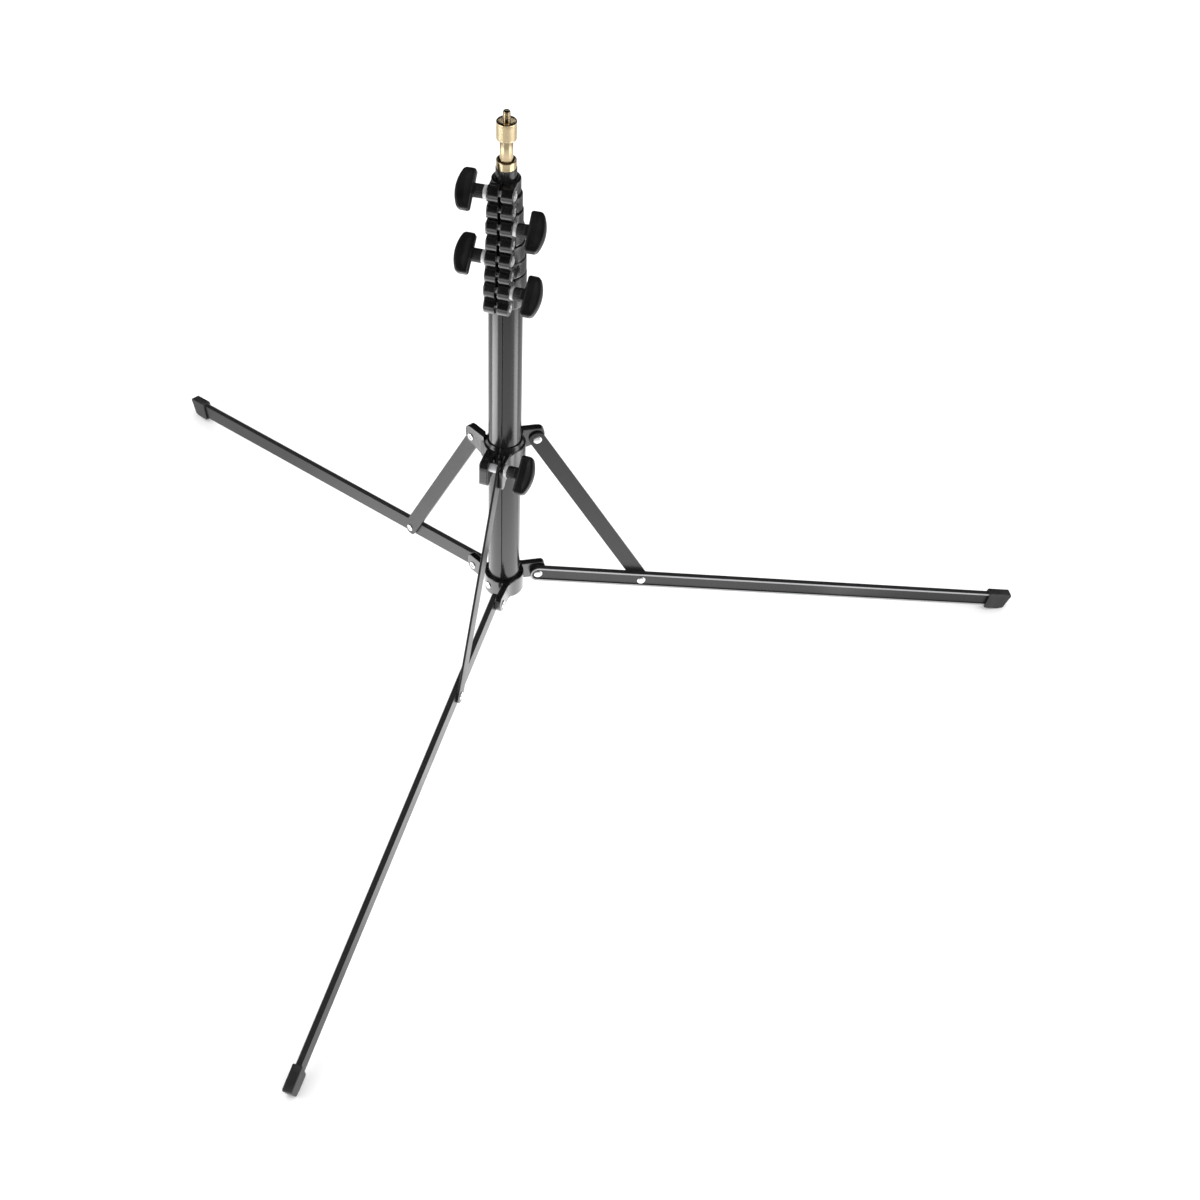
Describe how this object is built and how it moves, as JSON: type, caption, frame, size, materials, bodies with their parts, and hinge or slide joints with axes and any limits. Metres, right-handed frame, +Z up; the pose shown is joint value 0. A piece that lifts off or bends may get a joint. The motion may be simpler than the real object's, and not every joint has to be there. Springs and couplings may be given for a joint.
{
  "type": "lighting stand",
  "caption": "Compact portable lighting stand: telescoping clamp-locked column on a tripod whose braced legs fold up round it, with a brass 16 mm spigot on top.",
  "frame": {"origin": "on the floor, on the axis of the column", "axes": "+Z up along the column; the front leg points along -Y, the other two lie 120 degrees apart on the +X and -X sides"},
  "size_m": [0.8694, 0.7547, 0.601],
  "materials": {
    "gloss_black_tube": "gloss black anodised aluminium tube",
    "black_casting": "semi-gloss black enamel over die-cast aluminium",
    "dark_anodised": "satin dark grey anodised, drawn along its length",
    "black_plastic": "matt black nylon",
    "knob_plastic": "fine-textured black nylon",
    "rubber": "moulded black rubber",
    "brass": "bright turned brass",
    "nickel_steel": "bright nickel-plated steel"
  },
  "bodies": {
    "column": {"base_tube": "gloss_black_tube", "base_plug": "black_plastic", "leg_hub": "black_casting", "hub_rivets": "nickel_steel", "hub_set_rivet": "nickel_steel", "collar_1": "black_casting", "collar_1_pinch_screw": "nickel_steel", "collar_1_nut": "nickel_steel"},
    "riser_2": {"riser_2_tube": "gloss_black_tube", "riser_2_guide": "black_plastic", "collar_2": "black_casting", "collar_2_pinch_screw": "nickel_steel", "collar_2_nut": "nickel_steel"},
    "riser_3": {"riser_3_tube": "gloss_black_tube", "riser_3_guide": "black_plastic", "collar_3": "black_casting", "collar_3_pinch_screw": "nickel_steel", "collar_3_nut": "nickel_steel"},
    "riser_4": {"riser_4_tube": "gloss_black_tube", "riser_4_guide": "black_plastic", "collar_4": "black_casting", "collar_4_pinch_screw": "nickel_steel", "collar_4_nut": "nickel_steel"},
    "riser_5": {"riser_5_tube": "gloss_black_tube", "riser_5_guide": "black_plastic", "spigot": "brass", "spigot_knurled_ring": "brass", "top_stud": "brass", "spigot_pin": "nickel_steel"},
    "knob_1": {"knob_1_grip": "knob_plastic", "knob_1_bolt": "nickel_steel"},
    "knob_2": {"knob_2_grip": "knob_plastic", "knob_2_bolt": "nickel_steel"},
    "knob_3": {"knob_3_grip": "knob_plastic", "knob_3_bolt": "nickel_steel"},
    "knob_4": {"knob_4_grip": "knob_plastic", "knob_4_bolt": "nickel_steel"},
    "knob_5": {"knob_5_grip": "knob_plastic", "knob_5_bolt": "nickel_steel"},
    "spider": {"spider": "black_casting", "spider_nut": "nickel_steel", "spider_rivets": "nickel_steel", "clevis_spacer": "nickel_steel"},
    "leg_front": {"leg_front": "dark_anodised", "foot_front": "rubber", "leg_front_rivet": "nickel_steel"},
    "brace_front": {"brace_front": "dark_anodised", "brace_front_rivet": "nickel_steel"},
    "leg_right": {"leg_right": "dark_anodised", "foot_right": "rubber", "leg_right_rivet": "nickel_steel"},
    "brace_right": {"brace_right": "dark_anodised", "brace_right_rivet": "nickel_steel"},
    "leg_left": {"leg_left": "dark_anodised", "foot_left": "rubber", "leg_left_rivet": "nickel_steel"},
    "brace_left": {"brace_left": "dark_anodised", "brace_left_rivet": "nickel_steel"}
  },
  "joints": [
    {"name": "leg_front_fold", "type": "hinge", "parent": "column", "child": "leg_front", "pos_m": [0, -0.03125, 0.1178], "axis": [-1, 0, 0], "range_deg": [0, 98.59]},
    {"name": "leg_right_fold", "type": "hinge", "parent": "column", "child": "leg_right", "pos_m": [0.02706, 0.01562, 0.1178], "axis": [0.5, -0.866, 0], "range_deg": [0, 98.59]},
    {"name": "leg_left_fold", "type": "hinge", "parent": "column", "child": "leg_left", "pos_m": [-0.02706, 0.01562, 0.1178], "axis": [0.5, 0.866, 0], "range_deg": [0, 98.59]},
    {"name": "spider_slide", "type": "slide", "parent": "column", "child": "spider", "axis": [0, 0, 1], "range_m": [0, 0.1482]},
    {"name": "brace_front_swing", "type": "hinge", "parent": "spider", "child": "brace_front", "pos_m": [0, -0.0292, 0.272], "axis": [-1, 0, 0], "range_deg": [-25.89, 0]},
    {"name": "brace_right_swing", "type": "hinge", "parent": "spider", "child": "brace_right", "pos_m": [0.02529, 0.0146, 0.272], "axis": [0.5, -0.866, 0], "range_deg": [-25.89, 0]},
    {"name": "brace_left_swing", "type": "hinge", "parent": "spider", "child": "brace_left", "pos_m": [-0.02529, 0.0146, 0.272], "axis": [0.5, 0.866, 0], "range_deg": [-25.89, 0]},
    {"name": "riser_2_slide", "type": "slide", "parent": "column", "child": "riser_2", "axis": [0, 0, 1], "range_m": [0, 0.29]},
    {"name": "riser_3_slide", "type": "slide", "parent": "riser_2", "child": "riser_3", "axis": [0, 0, 1], "range_m": [0, 0.305]},
    {"name": "riser_4_slide", "type": "slide", "parent": "riser_3", "child": "riser_4", "axis": [0, 0, 1], "range_m": [0, 0.32]},
    {"name": "riser_5_slide", "type": "slide", "parent": "riser_4", "child": "riser_5", "axis": [0, 0, 1], "range_m": [0, 0.335]},
    {"name": "knob_1_turn", "type": "hinge", "parent": "column", "child": "knob_1", "pos_m": [0.0007, -0.02014, 0.44975], "axis": [0.9994, 0.0349, 0], "range_deg": [0, 270]},
    {"name": "knob_2_turn", "type": "hinge", "parent": "riser_2", "child": "knob_2", "pos_m": [0.00114, -0.01871, 0.47875], "axis": [-0.9981, -0.061, 0], "range_deg": [0, 270]},
    {"name": "knob_3_turn", "type": "hinge", "parent": "riser_3", "child": "knob_3", "pos_m": [0.0015, -0.01708, 0.50775], "axis": [0.9962, 0.0872, 0], "range_deg": [0, 270]},
    {"name": "knob_4_turn", "type": "hinge", "parent": "riser_4", "child": "knob_4", "pos_m": [0.00147, -0.01528, 0.53675], "axis": [-0.9954, -0.0958, 0], "range_deg": [0, 270]},
    {"name": "knob_5_turn", "type": "hinge", "parent": "spider", "child": "knob_5", "pos_m": [0, -0.0292, 0.272], "axis": [1, 0, 0], "range_deg": [0, 270]}
  ],
  "couplings": [
    {"joint": "leg_right_fold", "follows": "leg_front_fold", "ratio": 1},
    {"joint": "leg_left_fold", "follows": "leg_front_fold", "ratio": 1},
    {"joint": "spider_slide", "follows": "leg_front_fold", "m_per_rad": 0.086011},
    {"joint": "brace_front_swing", "follows": "leg_front_fold", "ratio": -0.26209},
    {"joint": "brace_right_swing", "follows": "leg_front_fold", "ratio": -0.26209},
    {"joint": "brace_left_swing", "follows": "leg_front_fold", "ratio": -0.26209}
  ]
}
